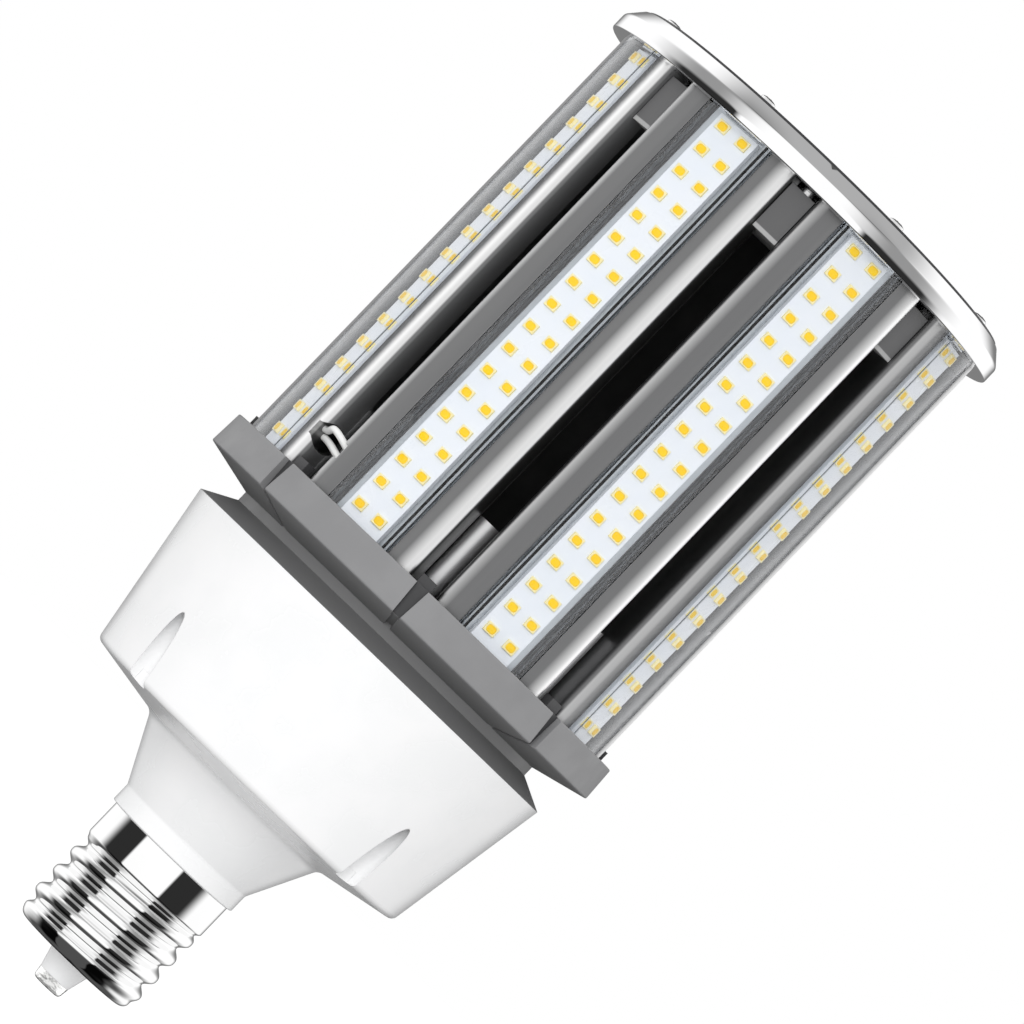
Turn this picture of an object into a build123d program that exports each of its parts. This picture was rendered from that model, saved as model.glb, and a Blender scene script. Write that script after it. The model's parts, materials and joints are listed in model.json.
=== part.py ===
from build123d import *
from math import cos, hypot, radians, tan
import os

# LED lamp with a mogul screw base, upright, in millimetres.
# The centre contact's face is at z = 0 and the cap is at the top.
# Azimuth 0 is the front, -Y, and grows towards +X.

os.makedirs("parts", exist_ok=True)

# Layout round the axis
module_count = 8
module_step = 360 / module_count
half_step = module_step / 2
post_circle = 51.7
post_shift = 0.85
port_circle = 44.5

# Heights
tip_height = 3.15
shell_bottom = 9.3
insulator_top = 13.0
thread_top = 35.8
shell_top = 46.2
neck_top = 51.4
flare_top = 69.0
drum_bottom = 73.0
drum_top = 118.3
collar_groove_bottom = 122.8
collar_groove_top = 125.6
rim_bottom = 129.3
collar_floor = 131.8
rail_bottom = 134.8
rim_top = 138.8
post_top = 161.7
lug_bottom = 259.9
lug_top = 274.4
rail_top = 275.8
cap_floor_top = 278.3
cap_band_top = 280.1
cap_lip_top = 283.9
cap_top = 284.6

# Screw base
thread_pitch_radius = 18.4
shell_radius = 19.5
shell_wall = 0.4
shell_mouth = 6.5
tip_radius = 4.75
stem_radius = 1.25
stem_top = 15.0
insulator_radius = 15.2
lead_radius = 0.9
shell_lead_place = 11.0
neck_radius = 16.8
neck_wall = 2.6

# Driver housing
collar_ring_radius = 20.7
flare_radius = 29.6
drum_low_radius = 51.8
drum_high_radius = 59.4
housing_wall = 2.2
channel_radius = 3.45
channel_boss_radius = 5.25
channel_seat = 104.2
channel_roof = 107.2
housing_screw_azimuths = (45, 135, 225, 315)

# Driver
board_level = 81.0
board_post_azimuths = (0, 90, 180, 270)
board_post_circle = 40.0
board_post_radius = 3.0
board_post_foot = 0.5
seam_radius = 49.5
seam_height = 3.0
driver_board_radius = 46.0
transformer_place = (-16, 10)
transformer_size = (30.0, 26.0, 21.0)
winding_width = 22.0
capacitor_places = ((20, -12), (20, 10))
capacitor_radius = 8.0
capacitor_height = 23.0
choke_place = (-10, -22)
choke_radius = 9.0
choke_winding_radius = 4.5

# Lower collar
groove_radius = 50.5
rim_low_radius = 65.9
rim_high_radius = 65.4
rim_wall = 2.4
collar_bore = 47.9
notch_low_width = 2.0
notch_high_width = 4.1
notch_back = 61.9
under_slot_depth = 1.0
key_top = 141.5
key_width = 4.45
key_thickness = 3.0
key_fin_reach = 63.6
key_clearance = 0.05
collar_boss_radius = 3.3

# Heat sink rail section, x along the board and y outward from the lamp's axis
seat_level = 56.6
seat_half = 8.7
groove_half = 11.3
groove_level = 55.2
shoulder_level = 59.0
edge_fillet = 2.5
near_wall_offset = 4.1
far_wall_offset = 2.4
far_wall_half = 18.9
plate_level = 53.6
wall_end_level = 44.0
side_wall = 1.8
fin_wall = 1.6
fin_place = 8.6
fin_end_level = 46.5
port_radius = 3.3
port_bore_radius = 1.7

# Boards, light packages and covers
board_width = 13.0
board_thickness = 1.6
led_rows = 18
led_pitch = 7.63
led_first = 143.0
led_column = 3.5
led_width = 3.5
led_height = 2.8
led_thickness = 0.7
cover_half = 10.4
cover_wall = 1.0
cover_shoulder = 60.6
cover_crown = 62.5

# Frames, core tube and cap
frame_radius = 62.4
post_radius = 3.1
lug_reach = 58.7
lug_width = 6.2
lug_bend = 55.4
lug_flare = 3.6
upper_ring_inner = 37.0
upper_ring_outer = 40.9
core_radius = 15.5
core_wall = 2.0
cap_radius = 65.5
cap_wall = 2.6
cap_mouth = 61.3
cap_opening = 40.0
cap_ledge_level = 283.0
cap_ledge_width = 7.0
cap_ledge_thickness = 2.0
plate_radius = 61.1
slot_circle = 30.0
slot_length = 22.0
slot_width = 3.2
slot_count = 16
cap_screw_circle = 57.6

# Screws, each as shank radius, head radius and head height
housing_screw = (1.6, 3.2, 2.4)
rail_screw = (1.65, 3.0, 2.0)
lug_screw = (1.45, 2.6, 1.8)
cap_screw = (1.1, 2.2, 1.3)
spacer_radius = 2.3
passing_clearance = 0.25
thread_clearance = 0.05
rail_screw_depth = 9.0
lug_screw_depth = 8.0
cap_screw_depth = 1.9

# The jumper leads bend across one gap, from a bore in one rail into a bore in the next.
# Their paths run across the gap, outward from the axis, and upward.
jumper_gap = 7
jumper_radius = 0.95
jumper_bore_radius = 4.1
jumper_bore_half = 7.0
jumper_bore_reach = 57.4
jumper_bore_height = 149.2
jumper_paths = (
    ((-jumper_bore_half, 57.0, 150.4), (-2, 57.6, 151.1), (3.4, 58.7, 151.9), (jumper_bore_half, 57.4, 150.6)),
    ((-jumper_bore_half, 55.6, 147.2), (0, 56.0, 148.0), (jumper_bore_half, 55.8, 148.9)),
)

upright = (Align.CENTER, Align.CENTER, Align.MIN)


def keep(node, shape):
    """Writes one node's solids."""
    export_step(shape, f"parts/{node}.step")


def outline(*corners):
    """A closed face through corners given as x, y and an optional corner radius."""
    points = [corner[:2] for corner in corners]
    rounds = [corner[2] if len(corner) > 2 else 0 for corner in corners]
    return make_face(FilletPolyline(*points, radius=rounds, close=True))


def turned(*corners):
    """A solid of revolution round the lamp's axis, from corners of radius, height and rounding."""
    return revolve(Plane.XZ * outline(*corners), Axis.Z)


def rod(radius, bottom, top):
    """A round bar on the axis between two heights."""
    return Pos(0, 0, bottom) * Cylinder(radius, top - bottom, align=upright)


def at_azimuth(shape, azimuth):
    """Turns a shape that was drawn towards +Y round to an azimuth."""
    return Rot(0, 0, azimuth - 180) * shape


def module_azimuth(index):
    return half_step + module_step * index


def gap_azimuth(index):
    return module_step * index


def ring_of(shape, azimuths):
    """Copies of a shape that was drawn towards +Y, one at each azimuth."""
    return Compound(children=[at_azimuth(shape, azimuth) for azimuth in azimuths])


def inset_path(points, distance):
    """The open path moved sideways, to the left of its direction, with its corners mitred."""
    lines = []
    for (x0, y0), (x1, y1) in zip(points, points[1:]):
        along_x, along_y = x1 - x0, y1 - y0
        length = hypot(along_x, along_y)
        side_x, side_y = -along_y / length * distance, along_x / length * distance
        lines.append((x0 + side_x, y0 + side_y, along_x, along_y))
    moved = [lines[0][:2]]
    for (ax, ay, au, av), (bx, by, bu, bv) in zip(lines, lines[1:]):
        reach = ((bx - ax) * bv - (by - ay) * bu) / (au * bv - av * bu)
        moved.append((ax + reach * au, ay + reach * av))
    last = lines[-1]
    moved.append((last[0] + last[2], last[1] + last[3]))
    return moved


def cap_head_screw(shank_radius, head_radius, head_height, tip, seat, head_up=True):
    """A screw on the axis: its shank from tip to seat, and a slightly domed head on the seat."""
    rim = head_height * 0.7
    direction = 1 if head_up else -1
    shank = turned((0, tip), (shank_radius, tip), (shank_radius, seat), (0, seat))
    head = turned(
        (0, seat),
        (head_radius, seat),
        (head_radius, seat + direction * rim),
        (head_radius * 0.6, seat + direction * head_height),
        (0, seat + direction * head_height),
    )
    return shank + head


# The parts of the screw base: tip, insulator and shell.

def contact():
    """Tinned tip with the stem that carries it through the insulator."""
    return turned(
        (0, 0),
        (tip_radius - 0.45, 0, 1.0),
        (tip_radius, tip_height),
        (stem_radius, tip_height),
        (stem_radius, stem_top),
        (0, stem_top),
    )


def insulator():
    """Moulded cone under the shell with a disc that lies inside the shell's bottom."""
    body = turned(
        (stem_radius + 0.05, tip_height),
        (tip_radius, tip_height),
        (shell_mouth - 0.1, shell_bottom, 0.3),
        (shell_mouth - 0.1, shell_bottom + shell_wall),
        (insulator_radius, shell_bottom + shell_wall),
        (insulator_radius, insulator_top, 0.6),
        (stem_radius + 0.05, insulator_top),
    )
    lead_hole = Pos(shell_lead_place, 0, 0) * rod(lead_radius + 0.3, shell_bottom, insulator_top + 1)
    return body - lead_hole


def shell():
    """Plated shell at the thread's pitch radius, with the plain band above the thread."""
    return turned(
        (shell_mouth, shell_bottom),
        (thread_pitch_radius, shell_bottom, 3.0),
        (thread_pitch_radius, thread_top),
        (shell_radius, thread_top + 1.1, 0.8),
        (shell_radius, shell_top),
        (shell_radius - shell_wall, shell_top),
        (shell_radius - shell_wall, thread_top + 1.2, 0.4),
        (thread_pitch_radius - shell_wall, thread_top + 0.1),
        (thread_pitch_radius - shell_wall, shell_bottom + shell_wall, 2.6),
        (shell_mouth, shell_bottom + shell_wall),
    )


# The driver housing with its four screw channels, and its screws.

def housing():
    """White mouldings with an even wall: the neck with its flare and floor, and the drum on it."""
    outside = [
        (collar_ring_radius, neck_top),
        (flare_radius, flare_top),
        (drum_low_radius, drum_bottom),
        (drum_high_radius, drum_top),
    ]
    inside = inset_path(outside, housing_wall)
    neck_bore = neck_radius - neck_wall
    solid = turned(
        (0, insulator_top),
        (neck_radius, insulator_top),
        (neck_radius, thread_top),
        (shell_radius - shell_wall, thread_top + 2.4),
        (shell_radius - shell_wall, shell_top),
        (collar_ring_radius, shell_top, 0.4),
        (*outside[0], 1.5),
        (*outside[1], 3.0),
        (*outside[2], 2.0),
        outside[3],
        (0, drum_top),
    )
    cavity = turned(
        (0, insulator_top - 1),
        (neck_bore, insulator_top - 1),
        (neck_bore, inside[0][1] - 4),
        inside[0],
        (*inside[1], 2.0),
        (*inside[2], 1.0),
        inside[3],
        (inside[3][0], drum_top + 1),
        (0, drum_top + 1),
    )
    boss = Pos(0, post_circle, 0) * rod(channel_boss_radius, drum_bottom - 5, channel_roof)
    channel = Pos(0, post_circle, 0) * rod(channel_radius, drum_bottom - 10, channel_seat)
    screw_hole = Pos(0, post_circle, 0) * rod(
        housing_screw[0] + passing_clearance, channel_seat - 1, channel_roof + 1
    )
    for azimuth in housing_screw_azimuths:
        cavity -= at_azimuth(boss, azimuth)
    moulding = solid - cavity
    for azimuth in housing_screw_azimuths:
        moulding -= at_azimuth(channel, azimuth)
        moulding -= at_azimuth(screw_hole, azimuth)
    below_seam = turned(
        (0, 0),
        (drum_high_radius, 0),
        (drum_high_radius, drum_bottom),
        (seam_radius, drum_bottom),
        (seam_radius, drum_bottom + seam_height),
        (0, drum_bottom + seam_height),
    )
    neck = moulding & below_seam
    board_post = Pos(0, board_post_circle, 0) * rod(
        board_post_radius, drum_bottom + board_post_foot, board_level
    )
    for azimuth in board_post_azimuths:
        neck += at_azimuth(board_post, azimuth)
    return neck, moulding - below_seam


def housing_screws():
    """Four long screws whose heads sit at the top of the housing's channels."""
    screw = cap_head_screw(*housing_screw, drum_top - 0.6, channel_seat, head_up=False)
    return ring_of(Pos(0, post_circle, 0) * screw, housing_screw_azimuths)


# The driver inside the housing.

def driver_board():
    """Round board on the housing's four posts, inside the ring of channels."""
    return rod(driver_board_radius, board_level, board_level + board_thickness)


def driver_parts():
    """Transformer, capacitors and choke, each standing on the board."""
    top = board_level + board_thickness
    width, depth, height = transformer_size
    third = height / 3
    yoke = Box(width, depth, third, align=upright)
    winding = Pos(0, 0, third) * Box(winding_width, depth, third, align=upright)
    transformer = Pos(*transformer_place, top) * (yoke + winding + Pos(0, 0, 2 * third) * yoke)
    can = turned(
        (0, top),
        (capacitor_radius, top),
        (capacitor_radius, top + capacitor_height, 1.2),
        (0, top + capacitor_height),
    )
    capacitors = Compound(children=[Pos(*place, 0) * can for place in capacitor_places])
    choke = Pos(*choke_place, top + choke_winding_radius) * Torus(choke_radius, choke_winding_radius)
    return transformer, capacitors, choke


def base_leads():
    """One lead from the tip's stem and one from the shell, up to the board."""
    tip_lead = rod(lead_radius, stem_top, board_level)
    shell_lead = Pos(shell_lead_place, 0, 0) * rod(lead_radius, shell_bottom + shell_wall, board_level)
    return Compound(children=[tip_lead, shell_lead])


# The grey collar that carries the lamp's upper half.

def collar():
    """Grooved ring whose rim has a tapered notch below each gap, and a slot on from it underneath."""
    inner_low = drum_high_radius - 4.2
    body = turned(
        (inner_low, drum_top),
        (drum_high_radius, drum_top),
        (groove_radius, collar_groove_bottom),
        (groove_radius, collar_groove_top),
        (rim_low_radius, rim_bottom, 0.5),
        (rim_high_radius, rim_top, 0.4),
        (rim_high_radius - rim_wall, rim_top, 0.4),
        (rim_high_radius - rim_wall, collar_floor),
        (collar_bore, collar_floor),
        (collar_bore, collar_groove_bottom - 0.8),
    )
    boss = Pos(0, post_circle, 0) * rod(collar_boss_radius, channel_roof, drum_top + 1.5)
    pilot = Pos(0, post_circle, 0) * rod(housing_screw[0] + thread_clearance, channel_roof - 1, drum_top + 1.0)
    for azimuth in housing_screw_azimuths:
        body += at_azimuth(boss, azimuth)
        body -= at_azimuth(pilot, azimuth)
    notch_face = make_face(
        Polyline(
            (-notch_low_width / 2, collar_groove_top),
            (notch_low_width / 2, collar_groove_top),
            (notch_high_width / 2, rim_top + 1),
            (-notch_high_width / 2, rim_top + 1),
            close=True,
        )
    )
    notch = Pos(0, rim_low_radius + 1, 0) * extrude(Plane.XZ * notch_face, rim_low_radius + 1 - notch_back)
    under_ring = turned(
        (groove_radius, collar_groove_top - 1),
        (rim_low_radius + 1, rim_bottom - 1),
        (rim_low_radius + 1, rim_bottom + under_slot_depth),
        (groove_radius, collar_groove_top + under_slot_depth),
    )
    radial_bar = Pos(0, rim_low_radius / 2, collar_groove_bottom) * Box(
        notch_low_width, rim_low_radius + 2, rim_top - collar_groove_bottom, align=upright
    )
    under_slot = under_ring & radial_bar
    for index in range(module_count):
        body -= at_azimuth(notch, gap_azimuth(index))
        body -= at_azimuth(under_slot, gap_azimuth(index))
    return body


def collar_keys():
    """Eight dark keys: a head that stands on the collar's floor, and a fin that fills the notch."""
    head_back = notch_back - key_thickness
    head = Pos(0, head_back + key_thickness / 2, collar_floor) * Box(
        key_width, key_thickness, key_top - collar_floor, align=upright
    )
    taper = (notch_high_width - notch_low_width) / (rim_top + 1 - collar_groove_top)
    fin_low = notch_low_width / 2 - key_clearance + taper / 2 * (rim_bottom - collar_groove_top)
    fin_high = notch_low_width / 2 - key_clearance + taper / 2 * (rim_top - collar_groove_top)
    fin_face = outline(
        (-fin_low, rim_bottom),
        (fin_low, rim_bottom),
        (fin_high, rim_top),
        (-fin_high, rim_top),
    )
    fin = Pos(0, key_fin_reach, 0) * extrude(Plane.XZ * fin_face, key_fin_reach - notch_back)
    return ring_of(head + fin, [gap_azimuth(index) for index in range(module_count)])


# The frames that hold the rails at both ends, and the tube on the axis.

def lower_frame():
    """Cast disc with a post in each gap, which shows between the modules."""
    disc = rod(frame_radius, collar_floor, rail_bottom)
    post = Pos(-post_shift, post_circle, 0) * rod(post_radius, collar_floor, post_top)
    slot_back = notch_back - key_thickness - 0.4
    key_slot = Pos(0, slot_back + 5, collar_floor - 1) * Box(
        key_width + 0.8, 10, rail_bottom - collar_floor + 2, align=upright
    )
    screw_hole = Pos(0, port_circle, 0) * rod(
        rail_screw[0] + passing_clearance, collar_floor - 1, rail_bottom + 1
    )
    for index in range(module_count):
        disc -= at_azimuth(key_slot, gap_azimuth(index))
        disc += at_azimuth(post, gap_azimuth(index))
        disc -= at_azimuth(screw_hole, module_azimuth(index))
    return disc


def upper_frame():
    """Ring with a lug in each gap that closes the gap's upper end."""
    ring = rod(upper_ring_outer, lug_bottom, lug_top) - rod(upper_ring_inner, lug_bottom - 1, lug_top + 1)
    middle = (upper_ring_inner + upper_ring_outer) / 2
    near_side = -post_shift - lug_width / 2
    far_side = -post_shift + lug_width / 2
    lug_face = outline(
        (near_side, middle),
        (near_side, lug_reach),
        (lug_flare, lug_reach),
        (far_side, lug_bend),
        (far_side, middle),
    )
    lug = Pos(0, 0, lug_bottom) * extrude(lug_face, lug_top - lug_bottom)
    bore = Pos(-post_shift, post_circle, 0) * rod(
        lug_screw[0] + thread_clearance, lug_top - lug_screw_depth - 1, lug_top + 1
    )
    for index in range(module_count):
        ring += at_azimuth(lug, gap_azimuth(index))
        ring -= at_azimuth(bore, gap_azimuth(index))
    return ring


def core_tube():
    """Black tube on the axis, seen at the back of every gap."""
    bore = rod(core_radius - core_wall, rail_bottom - 1, rail_top + 1)
    return rod(core_radius, rail_bottom, rail_top) - bore


# The heat sink rails, one extrusion for each module.

def near_wall(level, inward=0):
    """Where the rail's straight wall stands at a level, moved inward by a wall's thickness."""
    slope = tan(radians(half_step))
    return level * slope - (near_wall_offset + inward) / cos(radians(half_step))


def far_wall(level, inward=0):
    """The same for the wall that leans in before it turns parallel to its gap."""
    slope = tan(radians(half_step))
    return -(level * slope - (far_wall_offset + inward) / cos(radians(half_step)))


def rail_section():
    """Section of a rail: board seat, cover grooves, rounded shoulders, walls, fins and screw port."""
    slope = tan(radians(half_step))
    bend_level = (far_wall_half + far_wall_offset / cos(radians(half_step))) / slope
    section = outline(
        (-seat_half, seat_level),
        (-seat_half, groove_level),
        (-groove_half, groove_level),
        (-groove_half, shoulder_level),
        (-far_wall_half, shoulder_level, edge_fillet),
        (-far_wall_half, bend_level),
        (far_wall(wall_end_level), wall_end_level),
        (far_wall(wall_end_level, side_wall), wall_end_level),
        (far_wall(plate_level, side_wall), plate_level),
        (near_wall(plate_level, side_wall), plate_level),
        (near_wall(wall_end_level, side_wall), wall_end_level),
        (near_wall(wall_end_level), wall_end_level),
        (near_wall(shoulder_level), shoulder_level, edge_fillet),
        (groove_half, shoulder_level),
        (groove_half, groove_level),
        (seat_half, groove_level),
        (seat_half, seat_level),
    )
    fin_height = plate_level - fin_end_level + 0.5
    for place in (-fin_place, fin_place):
        section += Pos(place, fin_end_level + fin_height / 2) * Rectangle(fin_wall, fin_height)
    web_height = plate_level - port_circle + 0.5
    section += Pos(0, port_circle + web_height / 2) * Rectangle(fin_wall, web_height)
    section += Pos(0, port_circle) * Circle(port_radius)
    section -= Pos(0, port_circle) * Circle(port_bore_radius)
    return section


def jumper_bore():
    """A cross bore through both walls beside a gap, drawn towards +Y."""
    bore = Rot(0, 90, 0) * Cylinder(jumper_bore_radius, 2 * jumper_bore_half)
    return Pos(0, jumper_bore_reach, jumper_bore_height) * bore


def jumper_leads():
    """Two short insulated leads that bend across the gap between two bores."""
    across = (1, 0, 0)
    leads = []
    for stations in jumper_paths:
        path = Spline(*stations, tangents=[across, across])
        start = Plane(origin=stations[0], z_dir=across)
        leads.append(sweep(start * Circle(jumper_radius), path=path))
    return ring_of(Compound(children=leads), [gap_azimuth(jumper_gap)])


def rail(index):
    """One rail at its place; the two beside the jumper gap share the cross bore."""
    length = rail_top - rail_bottom
    bar = Pos(0, 0, rail_bottom) * extrude(rail_section(), length)
    bar = at_azimuth(bar, module_azimuth(index))
    if index in (jumper_gap - 1, jumper_gap):
        bar -= at_azimuth(jumper_bore(), gap_azimuth(jumper_gap))
    return bar


# What each rail carries: a board, its light packages and a clear cover.

board_bottom = rail_bottom + 0.5
board_length = rail_top - rail_bottom - 1.0


def led_board(index):
    """Flat board in the rail's seat."""
    blank = Pos(0, seat_level + board_thickness / 2, board_bottom) * Box(
        board_width, board_thickness, board_length, align=upright
    )
    return at_azimuth(blank, module_azimuth(index))


def led_chips(index):
    """Two columns of light packages on a board."""
    level = seat_level + board_thickness + led_thickness / 2
    package = Box(led_width, led_thickness, led_height)
    places = [
        Pos(side * led_column, level, led_first + led_pitch * row)
        for side in (-1, 1)
        for row in range(led_rows)
    ]
    return ring_of(Compound(children=[place * package for place in places]), [module_azimuth(index)])


def module_cover(index):
    """Clear bowed cover that stands in the rail's two grooves."""
    inner_half = cover_half - cover_wall
    outer_arc = ThreePointArc((-cover_half, cover_shoulder), (0, cover_crown), (cover_half, cover_shoulder))
    inner_arc = ThreePointArc(
        (inner_half, cover_shoulder - 0.4), (0, cover_crown - cover_wall), (-inner_half, cover_shoulder - 0.4)
    )
    right = Polyline(outer_arc @ 1, (cover_half, groove_level), (inner_half, groove_level), inner_arc @ 0)
    left = Polyline(inner_arc @ 1, (-inner_half, groove_level), (-cover_half, groove_level), outer_arc @ 0)
    section = make_face([outer_arc, right, inner_arc, left])
    bar = Pos(0, 0, rail_bottom) * extrude(section, rail_top - rail_bottom)
    return at_azimuth(bar, module_azimuth(index))


# The polished cap and what fastens it.

def cap_ring():
    """Turned ring: open floor, straight band, chamfered shoulder and a ledge for the plate."""
    chamfer = cap_lip_top - cap_band_top
    dish = turned(
        (cap_opening, rail_top),
        (cap_radius, rail_top, 0.4),
        (cap_radius, cap_band_top, 1.5),
        (cap_radius - chamfer + 0.5, cap_lip_top, 0.2),
        (cap_mouth, cap_lip_top),
        (cap_mouth, cap_ledge_level),
        (cap_mouth - cap_ledge_width, cap_ledge_level),
        (cap_mouth - cap_ledge_width, cap_ledge_level - cap_ledge_thickness),
        (cap_mouth, cap_ledge_level - cap_ledge_thickness),
        (cap_radius - cap_wall, cap_band_top),
        (cap_radius - cap_wall, cap_floor_top),
        (cap_opening, cap_floor_top),
    )
    rail_hole = Pos(0, port_circle, 0) * rod(
        rail_screw[0] + passing_clearance, rail_top - 1, cap_floor_top + 1
    )
    lug_hole = Pos(-post_shift, post_circle, 0) * rod(
        lug_screw[0] + passing_clearance, rail_top - 1, cap_floor_top + 1
    )
    pilot = Pos(0, cap_screw_circle, 0) * rod(
        cap_screw[0] + thread_clearance, cap_ledge_level - cap_ledge_thickness - 1, cap_ledge_level + 1
    )
    for index in range(module_count):
        dish -= at_azimuth(rail_hole, module_azimuth(index))
        dish -= at_azimuth(lug_hole, gap_azimuth(index))
        dish -= at_azimuth(pilot, module_azimuth(index))
    return dish


def top_plate():
    """Dark flat plate that stands a little proud of the cap's lip, with a ring of vent slots."""
    plate = rod(plate_radius, cap_ledge_level, cap_top)
    slot_face = SlotOverall(slot_length, slot_width, rotation=90)
    slot = Pos(0, slot_circle, cap_ledge_level - 1) * extrude(slot_face, 4)
    screw_hole = Pos(0, cap_screw_circle, 0) * rod(
        cap_screw[0] + passing_clearance, cap_ledge_level - 1, cap_top + 1
    )
    for index in range(slot_count):
        plate -= at_azimuth(slot, 360 / slot_count * (index + 0.5))
    for index in range(module_count):
        plate -= at_azimuth(screw_hole, module_azimuth(index))
    return plate


# Screws and spacers, each kind in a node of its own.

def rail_screws():
    """Eight from below and eight from the cap, into the rails' ports."""
    from_below = cap_head_screw(*rail_screw, rail_bottom + rail_screw_depth, collar_floor, head_up=False)
    from_above = cap_head_screw(*rail_screw, rail_top - rail_screw_depth, cap_floor_top)
    azimuths = [module_azimuth(index) for index in range(module_count)]
    lower = ring_of(Pos(0, port_circle, 0) * from_below, azimuths)
    upper = ring_of(Pos(0, port_circle, 0) * from_above, azimuths)
    return lower, upper


def lug_screws():
    """Screws from the cap into the upper frame's lugs, and the spacers that they pass through."""
    screw = cap_head_screw(*lug_screw, lug_top - lug_screw_depth, cap_floor_top)
    spacer = rod(spacer_radius, lug_top, rail_top)
    spacer -= rod(lug_screw[0] + passing_clearance, lug_top - 1, rail_top + 1)
    azimuths = [gap_azimuth(index) for index in range(module_count)]
    place = Pos(-post_shift, post_circle, 0)
    return ring_of(place * screw, azimuths), ring_of(place * spacer, azimuths)


def cap_screws():
    """Eight small screws that hold the plate down."""
    screw = cap_head_screw(*cap_screw, cap_ledge_level - cap_screw_depth, cap_top)
    azimuths = [module_azimuth(index) for index in range(module_count)]
    return ring_of(Pos(0, cap_screw_circle, 0) * screw, azimuths)


keep("center_contact", contact())
keep("contact_insulator", insulator())
keep("screw_shell", shell())

neck, drum = housing()
keep("housing_neck", neck)
keep("driver_housing", drum)
keep("housing_screws", housing_screws())

transformer, capacitors, choke = driver_parts()
keep("driver_board", driver_board())
keep("driver_transformer", transformer)
keep("driver_capacitors", capacitors)
keep("driver_choke", choke)
keep("base_leads", base_leads())

keep("lower_collar", collar())
keep("collar_keys", collar_keys())
keep("lower_frame", lower_frame())
keep("upper_frame", upper_frame())
keep("core_tube", core_tube())
keep("jumper_leads", jumper_leads())

for number in range(1, module_count + 1):
    keep(f"heat_sink_rail_{number}", rail(number - 1))
    keep(f"led_board_{number}", led_board(number - 1))
    keep(f"led_chips_{number}", led_chips(number - 1))
    keep(f"module_cover_{number}", module_cover(number - 1))

lower_rail_screws, upper_rail_screws = rail_screws()
frame_screws, cap_spacers = lug_screws()
keep("lower_rail_screws", lower_rail_screws)
keep("upper_rail_screws", upper_rail_screws)
keep("frame_screws", frame_screws)
keep("cap_spacers", cap_spacers)
keep("cap_ring", cap_ring())
keep("top_plate", top_plate())
keep("cap_screws", cap_screws())
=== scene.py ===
# %% [markdown]
# # Dressing an LED lamp
#
# The lamp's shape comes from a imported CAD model: a screw base, a white driver housing, eight light
# modules round an axis and a polished cap. This lesson gives it its finishes, adds the parts that are
# too small or too curved for the CAD, and lights it as a catalogue picture.
#
# Every length is in metres, as Blender wants it, so sizes are written in millimetres times `mm`.

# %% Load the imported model
import json
import math

import bmesh
import bpy
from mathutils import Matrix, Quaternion, Vector


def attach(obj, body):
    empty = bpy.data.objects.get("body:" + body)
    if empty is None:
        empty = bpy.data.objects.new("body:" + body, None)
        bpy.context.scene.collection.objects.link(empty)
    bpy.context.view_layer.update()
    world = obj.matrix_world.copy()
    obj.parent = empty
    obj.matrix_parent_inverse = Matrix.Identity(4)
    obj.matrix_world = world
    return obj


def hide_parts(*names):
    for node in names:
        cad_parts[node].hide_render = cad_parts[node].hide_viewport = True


mm = 0.001
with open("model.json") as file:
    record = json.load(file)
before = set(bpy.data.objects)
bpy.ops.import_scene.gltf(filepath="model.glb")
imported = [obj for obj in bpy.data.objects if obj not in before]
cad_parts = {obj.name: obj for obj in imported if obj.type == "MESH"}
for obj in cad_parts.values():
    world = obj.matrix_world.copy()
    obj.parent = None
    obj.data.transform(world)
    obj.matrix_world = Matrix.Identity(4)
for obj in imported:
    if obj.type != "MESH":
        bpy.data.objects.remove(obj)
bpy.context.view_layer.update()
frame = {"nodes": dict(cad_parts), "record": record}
print("CAD nodes:", len(frame["nodes"]))

# %% [markdown]
# ## Small tools for node trees
#
# Shader trees and geometry trees are wired in the same way. `feed` puts a number or another node's
# output into a socket, and `calc` adds a Math node. With these, a formula reads almost as it would on
# paper.

# %% Tools for node trees
def feed(tree, value, socket):
    """Puts a plain value, or another node's output, into a socket."""
    if isinstance(value, bpy.types.NodeSocket):
        tree.links.new(value, socket)
    else:
        socket.default_value = value


def add_node(tree, kind, inputs=None, **settings):
    """Adds a node, sets its options and feeds its inputs by name or number."""
    node = tree.nodes.new(kind)
    for name, value in settings.items():
        setattr(node, name, value)
    for name, value in (inputs or {}).items():
        feed(tree, value, node.inputs[name])
    return node


def calc(tree, operation, *values, clamp=False):
    """A Math node's result."""
    node = add_node(tree, "ShaderNodeMath", operation=operation, use_clamp=clamp)
    for place, value in enumerate(values):
        feed(tree, value, node.inputs[place])
    return node.outputs[0]


def ramp(tree, value, low, high, to_low=0.0, to_high=1.0, smooth=True):
    """Maps a value from one range to another and holds it at both ends."""
    node = add_node(
        tree,
        "ShaderNodeMapRange",
        interpolation_type="SMOOTHSTEP" if smooth else "LINEAR",
        inputs={"Value": value, "From Min": low, "From Max": high, "To Min": to_low, "To Max": to_high},
    )
    return node.outputs["Result"]


def new_group(name, kind, inputs, outputs):
    """A node group with named sockets; returns the tree, its inputs by name and its output node."""
    tree = bpy.data.node_groups.new(name, kind)
    for label, socket_type, default in inputs:
        item = tree.interface.new_socket(name=label, in_out="INPUT", socket_type=socket_type)
        if default is not None:
            item.default_value = default
    for label, socket_type in outputs:
        tree.interface.new_socket(name=label, in_out="OUTPUT", socket_type=socket_type)
    entry = tree.nodes.new("NodeGroupInput")
    result = tree.nodes.new("NodeGroupOutput")
    return tree, entry.outputs, result


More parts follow.
